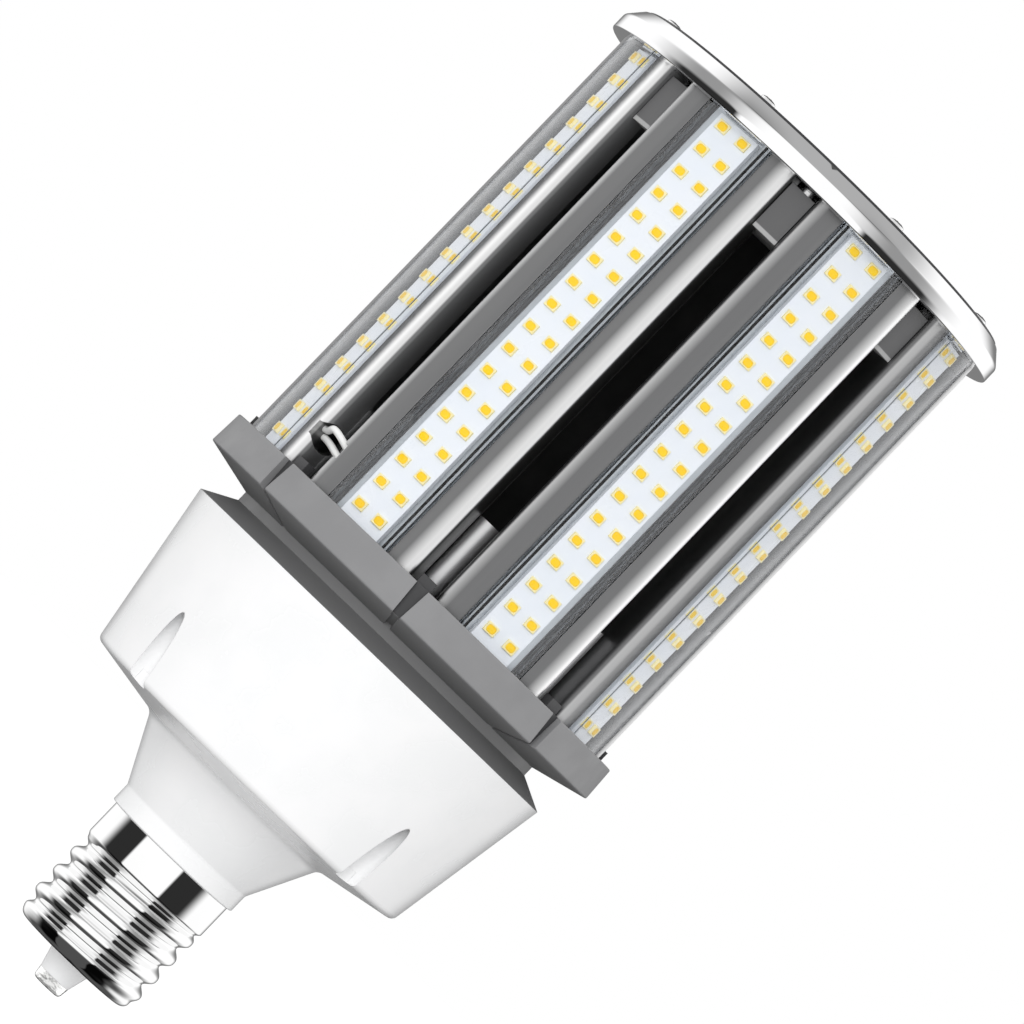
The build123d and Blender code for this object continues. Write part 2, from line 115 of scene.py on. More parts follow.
# %% [markdown]
# ## Shared surface effects
#
# Real surfaces are never even. Five effects come back on almost every part of the lamp, so each one is
# a shader node group with its own inputs:
#
# - soft edges: the Bevel node rounds the shading at sharp edges, as a mould or a deburring tool does,
#   and the difference between the rounded and the true normal marks where an edge wears
# - fine grain: the skin of a moulded or cast part, with a slow mottle under it
# - drawn lines: the long faint scratches that an extrusion gets from its die
# - smears: slow changes of gloss, as fingers and polishing cloths leave them
# - place on the module: how far a point lies to the side of its module's middle and from the lamp's
#   axis, so that one material can treat the same places on all eight rails alike

# %% Shader groups
FLOAT = "NodeSocketFloat"
NORMAL = "NodeSocketVector"

edge_group, edge_in, edge_out = new_group(
    "soft edges",
    "ShaderNodeTree",
    [("Radius", FLOAT, 0.3 * mm), ("Wear", FLOAT, 1.0)],
    [("Normal", NORMAL), ("Edge", FLOAT)],
)
bevel = add_node(edge_group, "ShaderNodeBevel", samples=4, inputs={"Radius": edge_in["Radius"]})
true_normal = add_node(edge_group, "ShaderNodeNewGeometry")
likeness = add_node(edge_group, "ShaderNodeVectorMath", operation="DOT_PRODUCT")
feed(edge_group, bevel.outputs["Normal"], likeness.inputs[0])
feed(edge_group, true_normal.outputs["Normal"], likeness.inputs[1])
turned_away = calc(edge_group, "SUBTRACT", 1.0, likeness.outputs["Value"])
edge_place = add_node(edge_group, "ShaderNodeTexCoord")
edge_noise = add_node(
    edge_group,
    "ShaderNodeTexNoise",
    inputs={"Vector": edge_place.outputs["Object"], "Scale": 260.0, "Detail": 3.0},
)
broken = ramp(edge_group, edge_noise.outputs["Fac"], 0.35, 0.65)
edge_mask = calc(edge_group, "MULTIPLY", calc(edge_group, "MULTIPLY", turned_away, 6.0, clamp=True), broken)
feed(edge_group, bevel.outputs["Normal"], edge_out.inputs["Normal"])
worn_edge = calc(edge_group, "MULTIPLY", edge_mask, edge_in["Wear"], clamp=True)
feed(edge_group, worn_edge, edge_out.inputs["Edge"])

grain_group, grain_in, grain_out = new_group(
    "fine grain",
    "ShaderNodeTree",
    [("Scale", FLOAT, 2500.0)],
    [("Height", FLOAT), ("Mottle", FLOAT)],
)
grain_place = add_node(grain_group, "ShaderNodeTexCoord").outputs["Object"]
grain_noise = add_node(
    grain_group,
    "ShaderNodeTexNoise",
    inputs={"Vector": grain_place, "Scale": grain_in["Scale"], "Detail": 2.0, "Roughness": 0.6},
)
mottle_scale = calc(grain_group, "DIVIDE", grain_in["Scale"], 30.0)
mottle_noise = add_node(
    grain_group,
    "ShaderNodeTexNoise",
    inputs={"Vector": grain_place, "Scale": mottle_scale, "Detail": 4.0},
)
feed(grain_group, grain_noise.outputs["Fac"], grain_out.inputs["Height"])
feed(grain_group, mottle_noise.outputs["Fac"], grain_out.inputs["Mottle"])

drawn_group, drawn_in, drawn_out = new_group(
    "drawn lines",
    "ShaderNodeTree",
    [("Scale", FLOAT, 1800.0), ("Stretch", FLOAT, 60.0)],
    [("Height", FLOAT), ("Streak", FLOAT)],
)
drawn_place = add_node(drawn_group, "ShaderNodeTexCoord").outputs["Object"]
split = add_node(drawn_group, "ShaderNodeSeparateXYZ", inputs={"Vector": drawn_place})
along = calc(drawn_group, "DIVIDE", split.outputs["Z"], drawn_in["Stretch"])
stretched = add_node(
    drawn_group,
    "ShaderNodeCombineXYZ",
    inputs={"X": split.outputs["X"], "Y": split.outputs["Y"], "Z": along},
).outputs["Vector"]
fine_lines = add_node(
    drawn_group,
    "ShaderNodeTexNoise",
    inputs={"Vector": stretched, "Scale": drawn_in["Scale"], "Detail": 3.0},
)
wide_scale = calc(drawn_group, "DIVIDE", drawn_in["Scale"], 8.0)
wide_lines = add_node(
    drawn_group,
    "ShaderNodeTexNoise",
    inputs={"Vector": stretched, "Scale": wide_scale, "Detail": 2.0},
)
feed(drawn_group, fine_lines.outputs["Fac"], drawn_out.inputs["Height"])
feed(drawn_group, wide_lines.outputs["Fac"], drawn_out.inputs["Streak"])

smear_group, smear_in, smear_out = new_group(
    "smears",
    "ShaderNodeTree",
    [("Scale", FLOAT, 40.0), ("Low", FLOAT, 0.05), ("High", FLOAT, 0.12)],
    [("Roughness", FLOAT)],
)
smear_place = add_node(smear_group, "ShaderNodeTexCoord").outputs["Object"]
smear_noise = add_node(
    smear_group,
    "ShaderNodeTexNoise",
    inputs={"Vector": smear_place, "Scale": smear_in["Scale"], "Detail": 5.0, "Distortion": 0.6},
)
smear_value = add_node(
    smear_group,
    "ShaderNodeMapRange",
    inputs={
        "Value": smear_noise.outputs["Fac"],
        "From Min": 0.3,
        "From Max": 0.7,
        "To Min": smear_in["Low"],
        "To Max": smear_in["High"],
    },
)
feed(smear_group, smear_value.outputs["Result"], smear_out.inputs["Roughness"])

place_group, place_in, place_out = new_group(
    "place on the module",
    "ShaderNodeTree",
    [("Modules", FLOAT, 8.0)],
    [("Across", FLOAT), ("Outward", FLOAT)],
)
module_place = add_node(place_group, "ShaderNodeTexCoord").outputs["Object"]
module_split = add_node(place_group, "ShaderNodeSeparateXYZ", inputs={"Vector": module_place})
reach = calc(
    place_group,
    "SQRT",
    calc(
        place_group,
        "ADD",
        calc(place_group, "POWER", calc(place_group, "ABSOLUTE", module_split.outputs["X"]), 2.0),
        calc(place_group, "POWER", calc(place_group, "ABSOLUTE", module_split.outputs["Y"]), 2.0),
    ),
)
turned = calc(place_group, "ARCTAN2", module_split.outputs["Y"], module_split.outputs["X"])
share = calc(place_group, "DIVIDE", math.tau, place_in["Modules"])
part_of_share = calc(place_group, "FRACT", calc(place_group, "DIVIDE", turned, share))
in_share = calc(place_group, "SUBTRACT", part_of_share, 0.5)
off_middle = calc(place_group, "MULTIPLY", in_share, share)
across = calc(place_group, "MULTIPLY", reach, calc(place_group, "SINE", off_middle))
outward = calc(place_group, "MULTIPLY", reach, calc(place_group, "COSINE", off_middle))
feed(place_group, across, place_out.inputs["Across"])
feed(place_group, outward, place_out.inputs["Outward"])
print("shader groups:", [group.name for group in bpy.data.node_groups])

# %% [markdown]
# ## Finishes
#
# A moulded plastic, a drawn or cast metal, and a plated metal differ in what disturbs them: grain,
# long lines, or only smears. One function for each family keeps the finishes alike where the real ones
# are alike. The Principled shader stays in the material, and the groups feed its sockets.

# %% Functions that make a finish
finishes = {}


def start_finish(name):
    """Lists a new material under its slot's name; returns its tree and its Principled shader."""
    material = bpy.data.materials.new(name)
    material.use_nodes = True
    finishes[name] = material
    return material.node_tree, material.node_tree.nodes["Principled BSDF"]


def add_group(tree, group, **inputs):
    """Places a shader group in a material and sets its inputs."""
    node = add_node(tree, "ShaderNodeGroup", node_tree=group)
    for label, value in inputs.items():
        feed(tree, value, node.inputs[label])
    return node.outputs


def blend(tree, amount, first, second):
    """Mixes two colours, given as three numbers or as sockets."""
    node = add_node(tree, "ShaderNodeMix", data_type="RGBA")
    feed(tree, amount, node.inputs["Factor"])
    for place, colour in ((6, first), (7, second)):
        full = (*colour, 1.0) if isinstance(colour, tuple) else colour
        feed(tree, full, node.inputs[place])
    return node.outputs[2]


def relief(tree, height, depth, normal):
    """A Bump node on top of the rounded normal; depth is in metres."""
    node = add_node(tree, "ShaderNodeBump", inputs={"Strength": 1.0, "Distance": depth, "Height": height})
    feed(tree, normal, node.inputs["Normal"])
    return node.outputs["Normal"]


def height_in(tree):
    """The height of the shaded point in the lamp's frame."""
    place = add_node(tree, "ShaderNodeTexCoord").outputs["Object"]
    return add_node(tree, "ShaderNodeSeparateXYZ", inputs={"Vector": place}).outputs["Z"]


def repaint(tree, shader, amount, colour):
    """Lays another colour over the one that feeds the shader, by an amount from 0 to 1."""
    under = shader.inputs["Base Color"].links[0].from_socket
    feed(tree, blend(tree, amount, under, colour), shader.inputs["Base Color"])


def moulded(name, colour, shade, roughness, grain=2500.0, depth=0.01 * mm, edge=None, radius=0.3 * mm):
    """Moulded plastic: a fine skin, a slow mottle between two close colours, and lighter edges."""
    tree, shader = start_finish(name)
    edges = add_group(tree, edge_group, Radius=radius, Wear=0.3)
    skin = add_group(tree, grain_group, Scale=grain)
    body = blend(tree, ramp(tree, skin["Mottle"], 0.35, 0.65), colour, shade)
    feed(tree, blend(tree, edges["Edge"], body, edge or colour), shader.inputs["Base Color"])
    uneven = ramp(tree, skin["Mottle"], 0.3, 0.7, roughness - 0.04, roughness + 0.04)
    feed(tree, uneven, shader.inputs["Roughness"])
    feed(tree, relief(tree, skin["Height"], depth, edges["Normal"]), shader.inputs["Normal"])
    return tree, shader


def drawn_metal(name, colour, shade, low, high, scale, stretch, depth=0.004 * mm):
    """Cast, drawn or wound metal: faint lines in its gloss and its relief."""
    tree, shader = start_finish(name)
    shader.inputs["Metallic"].default_value = 1.0
    edges = add_group(tree, edge_group, Radius=0.25 * mm, Wear=0.5)
    lines = add_group(tree, drawn_group, Scale=scale, Stretch=stretch)
    body = blend(tree, ramp(tree, lines["Streak"], 0.35, 0.65), colour, shade)
    edge = tuple(min(1.0, part * 1.2) for part in colour)
    feed(tree, blend(tree, edges["Edge"], body, edge), shader.inputs["Base Color"])
    feed(tree, ramp(tree, lines["Streak"], 0.3, 0.7, low, high), shader.inputs["Roughness"])
    feed(tree, relief(tree, lines["Height"], depth, edges["Normal"]), shader.inputs["Normal"])


def plated_metal(name, colour, low, high, scale):
    """Bright plating or polish: almost even, with slow smears in its gloss."""
    tree, shader = start_finish(name)
    shader.inputs["Metallic"].default_value = 1.0
    edges = add_group(tree, edge_group, Radius=0.2 * mm, Wear=0.4)
    gloss = add_group(tree, smear_group, Scale=scale, Low=low, High=high)
    dull = tuple(part * 0.94 for part in colour)
    feed(tree, blend(tree, edges["Edge"], colour, dull), shader.inputs["Base Color"])
    feed(tree, gloss["Roughness"], shader.inputs["Roughness"])
    feed(tree, edges["Normal"], shader.inputs["Normal"])
    return tree, shader


def mirror_metal(name, colour):
    """Mirror plating: no roughness at all, and only a slow haze in its colour."""
    tree, shader = start_finish(name)
    shader.inputs["Metallic"].default_value = 1.0
    shader.inputs["Roughness"].default_value = 0.0
    haze = add_group(tree, smear_group, Scale=60.0, Low=0.0, High=1.0)
    hazy = tuple(part * 0.97 for part in colour)
    feed(tree, blend(tree, haze["Roughness"], colour, hazy), shader.inputs["Base Color"])


# %% Plastics
white = (0.93, 0.93, 0.935)
white_shade = (0.90, 0.905, 0.91)
collar_grain = 2600.0
moulded("white_plastic", white, white_shade, 0.26, grain=1800.0, depth=0.003 * mm, radius=0.2 * mm)
collar_tree, collar_shader = moulded(
    "grey_plastic",
    (0.25, 0.25, 0.255),
    (0.235, 0.235, 0.24),
    0.5,
    grain=collar_grain,
    depth=0.015 * mm,
    edge=(0.34, 0.34, 0.34),
)
frame_tree, frame_shader = moulded(
    "dark_plastic",
    (0.050, 0.050, 0.052),
    (0.044, 0.044, 0.046),
    0.5,
    grain=collar_grain,
    depth=0.015 * mm,
    edge=(0.08, 0.08, 0.08),
)
moulded("plate_dark", (0.03, 0.03, 0.032), (0.022, 0.022, 0.024), 0.45, grain=3200.0, depth=0.03 * mm)
# On the core tube seen through the slots, this near-black stands in for the deep shade inside the lamp:
# painted shade.
moulded("black_plastic", (0.006, 0.006, 0.006), (0.004, 0.004, 0.004), 0.7, depth=0.01 * mm)
moulded("insulator", white, white_shade, 0.3, grain=900.0, depth=0.01 * mm)
moulded("lead_insulation", (0.90, 0.90, 0.89), (0.84, 0.84, 0.83), 0.42, depth=0.008 * mm)
moulded("board_white", (0.80, 0.83, 0.87), (0.77, 0.81, 0.86), 0.3, grain=1200.0, depth=0.004 * mm)
moulded("driver_board", (0.03, 0.20, 0.09), (0.02, 0.14, 0.06), 0.35, grain=700.0)
moulded("ferrite", (0.05, 0.05, 0.055), (0.03, 0.03, 0.03), 0.45)
moulded("capacitor_sleeve", (0.03, 0.035, 0.06), (0.02, 0.02, 0.04), 0.25, grain=600.0)

# The collar below 129 mm is painted darker than its face: painted shade, as falls under its rim.
painted_underside_shade = ramp(collar_tree, height_in(collar_tree), 128.8 * mm, 129.2 * mm, 1.0, 0.0)
repaint(collar_tree, collar_shader, painted_underside_shade, (0.18, 0.18, 0.182))

# Above 250 mm the frame is paler than the keys, and the lowest band of its lugs gets a painted highlight,
# as light from below would give it.
frame_height = height_in(frame_tree)
above_keys = ramp(frame_tree, frame_height, 250.0 * mm, 251.0 * mm)
lug_bottom_painted_light = ramp(frame_tree, frame_height, 260.9 * mm, 261.2 * mm, 1.0, 0.0)
repaint(frame_tree, frame_shader, above_keys, (0.105, 0.105, 0.107))
repaint(frame_tree, frame_shader, calc(frame_tree, "MULTIPLY", above_keys, lug_bottom_painted_light), (0.38, 0.38, 0.38))
print("plastics:", len(finishes))

# %% Metals
tree, shader = start_finish("rail_aluminium")
shader.inputs["Metallic"].default_value = 1.0
edges = add_group(tree, edge_group, Radius=0.15 * mm, Wear=0.5)
lines = add_group(tree, drawn_group, Scale=1800.0, Stretch=80.0)
place = add_group(tree, place_group)
# The shoulders' rounded edges get a painted highlight: pale at the edge and fading to the flat colour.
far_shoulder = ramp(tree, place["Across"], 14.0 * mm, 17.3 * mm, smooth=False)
near_shoulder = ramp(tree, place["Across"], -20.3 * mm, -16.2 * mm, 1.0, 0.0, smooth=False)
shoulder_highlight = calc(
    tree,
    "MULTIPLY",
    calc(tree, "MAXIMUM", far_shoulder, near_shoulder),
    ramp(tree, place["Outward"], 57.2 * mm, 57.8 * mm),
)
# The seat's floor beside the board is painted pale and bluish: a painted reflection of the board and its
# cover.
off_centre = calc(tree, "ABSOLUTE", place["Across"])
seat = ramp(tree, off_centre, 8.8 * mm, 8.9 * mm, 1.0, 0.0)
streak = ramp(tree, lines["Streak"], 0.35, 0.65)
flat = blend(tree, streak, (0.225, 0.226, 0.228), (0.205, 0.206, 0.209))
with_seat_reflection = blend(tree, seat, flat, (0.54, 0.57, 0.59))
with_shoulder_highlight = blend(tree, shoulder_highlight, with_seat_reflection, (0.84, 0.84, 0.84))
feed(tree, blend(tree, edges["Edge"], with_shoulder_highlight, (0.86, 0.86, 0.86)), shader.inputs["Base Color"])
feed(tree, ramp(tree, lines["Streak"], 0.3, 0.7, 0.34, 0.40), shader.inputs["Roughness"])
feed(tree, relief(tree, lines["Height"], 0.0008 * mm, edges["Normal"]), shader.inputs["Normal"])
drawn_metal(
    "cast_metal",
    (0.86, 0.86, 0.86),
    (0.82, 0.82, 0.825),
    0.42,
    0.48,
    scale=500.0,
    stretch=3.0,
    depth=0.001 * mm,
)
drawn_metal("choke_winding", (0.62, 0.30, 0.13), (0.50, 0.22, 0.09), 0.25, 0.35, scale=900.0, stretch=0.2)
mirror_metal("shell_plating", (0.95, 0.95, 0.95))
mirror_metal("cap_metal", (0.95, 0.95, 0.955))
plated_metal("screw_steel", (0.80, 0.80, 0.80), 0.18, 0.30, scale=300.0)
tip_tree, tip_shader = plated_metal("tip_metal", (0.90, 0.90, 0.89), 0.04, 0.12, scale=500.0)
lumps = add_group(tip_tree, grain_group, Scale=420.0)
smooth_normal = tip_shader.inputs["Normal"].links[0].from_socket
feed(tip_tree, relief(tip_tree, lumps["Height"], 0.5 * mm, smooth_normal), tip_shader.inputs["Normal"])
print("finishes:", len(finishes))

# %% [markdown]
# ## The clear cover
#
# Each module lies behind a thin clear cover. Glass that bends every ray would also throw the board into
# shade, because a lamp's shadow ray can't pass a refracting surface. So the cover refracts what the
# camera and the reflections see, and lets shadow rays and soft bounce light straight through.

# %% Clear cover
tree, glass = start_finish("clear_cover")
glass.inputs["Transmission Weight"].default_value = 1.0
glass.inputs["IOR"].default_value = 1.38
gloss = add_group(tree, smear_group, Scale=25.0, Low=0.0, High=0.03)
glass.inputs["Base Color"].default_value = (0.97, 0.98, 1.0, 1.0)
feed(tree, gloss["Roughness"], glass.inputs["Roughness"])
path = add_node(tree, "ShaderNodeLightPath")
passing = calc(tree, "MAXIMUM", path.outputs["Is Shadow Ray"], path.outputs["Is Diffuse Ray"])
clear = add_node(tree, "ShaderNodeBsdfTransparent")
choice = add_node(tree, "ShaderNodeMixShader")
feed(tree, passing, choice.inputs["Fac"])
feed(tree, glass.outputs["BSDF"], choice.inputs[1])
feed(tree, clear.outputs["BSDF"], choice.inputs[2])
feed(tree, choice.outputs["Shader"], tree.nodes["Material Output"].inputs["Surface"])

# %% [markdown]
# ## Light packages
#
# A package is a pale moulded frame with a well of yellow phosphor in it. Light that has passed through
# the phosphor tints the frame round it, so the frame is cream and not white.

# %% Package finishes
moulded("package_frame", (0.93, 0.82, 0.42), (0.90, 0.79, 0.38), 0.4, grain=4000.0, depth=0.003 * mm)
moulded("led_phosphor", (0.97, 0.63, 0.0), (0.97, 0.60, 0.0), 0.6, grain=6000.0, depth=0.01 * mm)
phosphor_shader = finishes["led_phosphor"].node_tree.nodes["Principled BSDF"]
phosphor_shader.inputs["Specular IOR Level"].default_value = 0.1

# %% Give every CAD node its finish
for part in frame["record"]["subparts"]:
    node = frame["nodes"][part["node"]]
    node.data.materials.clear()
    node.data.materials.append(finishes[part["material_slot"]])

# %% [markdown]
# ## Making pieces with Geometry Nodes
#
# A tree is put on an empty carrier, its inputs are set by each socket's identifier, and the evaluated
# result is copied into a plain mesh at the origin. The piece then rides on the lamp's only body.

# %% From a tree to a piece
def piece_from_tree(name, tree, values):
    """Evaluates a geometry tree with named values and returns the finished piece."""
    carrier = bpy.data.objects.new(name + " carrier", bpy.data.meshes.new(name + " empty"))
    bpy.context.scene.collection.objects.link(carrier)
    modifier = carrier.modifiers.new(name, "NODES")
    modifier.node_group = tree
    known = {item.name: item.identifier for item in tree.interface.items_tree if item.in_out == "INPUT"}
    for label, value in values.items():
        modifier[known[label]] = value
    graph = bpy.context.evaluated_depsgraph_get()
    mesh = bpy.data.meshes.new_from_object(carrier.evaluated_get(graph))
    carrier.modifiers.remove(modifier)
    bpy.data.objects.remove(carrier)
    piece = bpy.data.objects.new(name, mesh)
    mesh.name = name
    bpy.context.scene.collection.objects.link(piece)
    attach(piece, "root")
    mesh.calc_loop_triangles()
    print(name, "has", len(mesh.loop_triangles), "triangles")
    return piece


# %% [markdown]
# ## The rolled thread
#
# A lamp shell's thread is rolled into thin sheet, so it is a soft wave and not a sharp groove. A grid
# is wrapped round the axis: one direction becomes the angle and the other runs along the shell's
# profile, from the mouth in its floor round the corner and up the side. On the side the radius gets a
# cosine of the height minus the angle, which is exactly a helix, and a right-handed one.

# %% Thread tree
shell_tree, shell_in, shell_result = new_group(
    "rolled shell",
    "GeometryNodeTree",
    [
        ("Floor height", FLOAT, 9.3 * mm),
        ("Top height", FLOAT, 46.2 * mm),
        ("Mouth radius", FLOAT, 6.5 * mm),
        ("Corner radius", FLOAT, 2.3 * mm),
        ("Mean radius", FLOAT, 18.4 * mm),
        ("Band radius", FLOAT, 19.5 * mm),
        ("Wave", FLOAT, 1.1 * mm),
        ("Pitch", FLOAT, 6.35 * mm),
        ("Thread start", FLOAT, 10.6 * mm),
        ("Thread end", FLOAT, 36.6 * mm),
        ("Phase", FLOAT, 0.0),
        ("Narrowing", FLOAT, 1.0),
        ("Material", "NodeSocketMaterial", None),
    ],
    [("Geometry", "NodeSocketGeometry")],
)
round_count = 145
along_count = 171
grid = add_node(
    shell_tree,
    "GeometryNodeMeshGrid",
    inputs={"Size X": 1.0, "Size Y": 1.0, "Vertices X": round_count, "Vertices Y": along_count},
)
grid_place = add_node(shell_tree, "GeometryNodeInputPosition").outputs["Position"]
grid_split = add_node(shell_tree, "ShaderNodeSeparateXYZ", inputs={"Vector": grid_place})
turn = calc(shell_tree, "MULTIPLY", calc(shell_tree, "ADD", grid_split.outputs["X"], 0.5), math.tau)
run = calc(shell_tree, "ADD", grid_split.outputs["Y"], 0.5)
floor_share = 0.06
corner_share = 0.16
corner_start = calc(shell_tree, "SUBTRACT", shell_in["Mean radius"], shell_in["Corner radius"])
floor_radius = ramp(shell_tree, run, 0.0, floor_share, shell_in["Mouth radius"], corner_start, smooth=False)
corner_angle = ramp(shell_tree, run, floor_share, corner_share, 0.0, math.pi / 2, smooth=False)
side_bottom = calc(shell_tree, "ADD", shell_in["Floor height"], shell_in["Corner radius"])
side_height = calc(shell_tree, "SUBTRACT", shell_in["Top height"], side_bottom)
climb = ramp(shell_tree, run, corner_share, 1.0, 0.0, side_height, smooth=False)
corner_rise = calc(shell_tree, "SUBTRACT", 1.0, calc(shell_tree, "COSINE", corner_angle))
corner_height = calc(shell_tree, "MULTIPLY", shell_in["Corner radius"], corner_rise)
height = calc(shell_tree, "ADD", calc(shell_tree, "ADD", shell_in["Floor height"], corner_height), climb)
corner_out = calc(shell_tree, "MULTIPLY", shell_in["Corner radius"], calc(shell_tree, "SINE", corner_angle))
run_in = calc(shell_tree, "ADD", shell_in["Thread start"], 4.0 * mm)
run_out = calc(shell_tree, "SUBTRACT", shell_in["Thread end"], 2.6 * mm)
fade_in = ramp(shell_tree, height, shell_in["Thread start"], run_in)
fade_out = ramp(shell_tree, height, run_out, shell_in["Thread end"], 1.0, 0.0)
helix = calc(
    shell_tree,
    "SUBTRACT",
    calc(shell_tree, "MULTIPLY", calc(shell_tree, "DIVIDE", height, shell_in["Pitch"]), math.tau),
    calc(shell_tree, "ADD", turn, shell_in["Phase"]),
)
from_crest = calc(shell_tree, "SUBTRACT", 1.0, calc(shell_tree, "COSINE", helix))
below_crest = calc(shell_tree, "MULTIPLY", from_crest, 0.5)
narrowed = calc(shell_tree, "POWER", below_crest, shell_in["Narrowing"])
crest_form = calc(shell_tree, "SUBTRACT", 1.0, calc(shell_tree, "MULTIPLY", narrowed, 2.0))
wave = calc(shell_tree, "MULTIPLY", crest_form, shell_in["Wave"])
wave = calc(shell_tree, "MULTIPLY", calc(shell_tree, "MULTIPLY", wave, fade_in), fade_out)
band_step = calc(shell_tree, "SUBTRACT", shell_in["Band radius"], shell_in["Mean radius"])
band_start = calc(shell_tree, "SUBTRACT", shell_in["Thread end"], 1.6 * mm)
band = ramp(shell_tree, height, band_start, shell_in["Thread end"], 0.0, band_step)
side_radius = calc(shell_tree, "ADD", calc(shell_tree, "ADD", floor_radius, corner_out), band)
radius = calc(shell_tree, "ADD", side_radius, wave)
wrapped = add_node(
    shell_tree,
    "ShaderNodeCombineXYZ",
    inputs={
        "X": calc(shell_tree, "MULTIPLY", radius, calc(shell_tree, "COSINE", turn)),
        "Y": calc(shell_tree, "MULTIPLY", radius, calc(shell_tree, "SINE", turn)),
        "Z": height,
    },
)
placed = add_node(
    shell_tree,
    "GeometryNodeSetPosition",
    inputs={"Geometry": grid.outputs["Mesh"], "Position": wrapped.outputs["Vector"]},
)
joined = add_node(
    shell_tree,
    "GeometryNodeMergeByDistance",
    inputs={"Geometry": placed.outputs["Geometry"], "Distance": 0.001 * mm},
)
smooth = add_node(shell_tree, "GeometryNodeSetShadeSmooth", inputs={"Geometry": joined.outputs["Geometry"]})
real = add_node(shell_tree, "GeometryNodeRealizeInstances", inputs={"Geometry": smooth.outputs["Geometry"]})
coated = add_node(
    shell_tree,
    "GeometryNodeSetMaterial",
    inputs={"Geometry": real.outputs["Geometry"], "Material": shell_in["Material"]},
)
feed(shell_tree, coated.outputs["Geometry"], shell_result.inputs["Geometry"])

# %% Roll the shell
sheet_thickness = 0.38 * mm
thread_phase = 1.32
groove_narrowing = 1.5
shell = piece_from_tree(
    "threaded_shell",
    shell_tree,
    {"Phase": thread_phase, "Narrowing": groove_narrowing, "Material": finishes["shell_plating"]},
)
thicken = shell.modifiers.new("sheet", "SOLIDIFY")
thicken.thickness = sheet_thickness
thicken.offset = -1.0
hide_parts("screw_shell")

# %% [markdown]
# ## The polished cap
#
# A mirror shows every flat facet of the CAD mesh as a scallop. So the cap is turned again from its
# profile in fine steps. Each corner of the profile has its own radius, and the arc is drawn with a few
# points.

# %% Turn the cap
cap_outside = 65.5 * mm
cap_wall_inside = 62.9 * mm
cap_chamfer_inside = 62.2 * mm
cap_lip_inside = 61.3 * mm
cap_flange_inside = 54.3 * mm
cap_opening = 40.0 * mm
cap_bottom = 275.8 * mm
cap_floor = 278.3 * mm
cap_band_top = 280.1 * mm
cap_flange_bottom = 281.0 * mm
cap_flange_top = 283.0 * mm
cap_lip_top = 283.9 * mm
cap_profile = [
    (cap_opening, cap_bottom, 0.0),
    (cap_outside, cap_bottom, 0.4 * mm),
    (cap_outside, cap_band_top, 1.5 * mm),
    (cap_chamfer_inside, cap_lip_top, 0.2 * mm),
    (cap_lip_inside, cap_lip_top, 0.0),
    (cap_lip_inside, cap_flange_top, 0.0),
    (cap_flange_inside, cap_flange_top, 0.0),
    (cap_flange_inside, cap_flange_bottom, 0.0),
    (cap_lip_inside, cap_flange_bottom, 0.0),
    (cap_wall_inside, cap_band_top, 0.0),
    (cap_wall_inside, cap_floor, 0.0),
    (cap_opening, cap_floor, 0.0),
]
cap_segments = 288
arc_points = 5


def rounded(profile):
    """The profile's points, with an arc in place of each corner that has a radius."""
    points = []
    for place, (across, level, radius) in enumerate(profile):
        corner = Vector((across, level))
        if radius == 0.0:
            points.append(corner)
            continue
        before = (Vector(profile[place - 1][:2]) - corner).normalized()
        after = (Vector(profile[(place + 1) % len(profile)][:2]) - corner).normalized()
        half_angle = before.angle(after) / 2
        centre = corner + (before + after).normalized() * radius / math.sin(half_angle)
        start = corner + before * radius / math.tan(half_angle) - centre
        end = corner + after * radius / math.tan(half_angle) - centre
        for step in range(arc_points):
            share = step / (arc_points - 1)
            points.append(centre + (start * (1.0 - share) + end * share).normalized() * radius)
    return points


def turned_piece(name, profile, slot):
    """A profile turned round the lamp's axis."""
    points = rounded(profile)
    work = bmesh.new()
    rings = []
    for step in range(cap_segments):
        angle = math.tau * step / cap_segments
        across, along_y = math.cos(angle), math.sin(angle)
        rings.append([work.verts.new((point.x * across, point.x * along_y, point.y)) for point in points])
    for step in range(cap_segments):
        skin(work, rings[step], rings[(step + 1) % cap_segments])
    bmesh.ops.recalc_face_normals(work, faces=work.faces)
    mesh = bpy.data.meshes.new(name)
    work.to_mesh(mesh)
    work.free()
    mesh.shade_smooth()
    mesh.set_sharp_from_angle(angle=math.radians(35))
    mesh.materials.append(finishes[slot])
    piece = bpy.data.objects.new(name, mesh)
    bpy.context.scene.collection.objects.link(piece)
    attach(piece, "root")
    print(name, "has", len(mesh.polygons), "faces")
    return piece


def skin(work, first, second):
    """Quads between two loops of the same length."""
    count = len(first)
    for place in range(count):
        following = (place + 1) % count
        work.faces.new((first[place], first[following], second[following], second[place]))


fine_cap = turned_piece("polished_cap", cap_profile, "cap_metal")
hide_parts("cap_ring")

# %% [markdown]
# ## Copies round the axis
#
# The packages and the screws repeat in the same way: rows and columns in front of one module, and then
# the whole set once for each module. One tree does both. The thing that repeats is modelled once, at
# the front of the lamp, and an Object Info node brings it in.

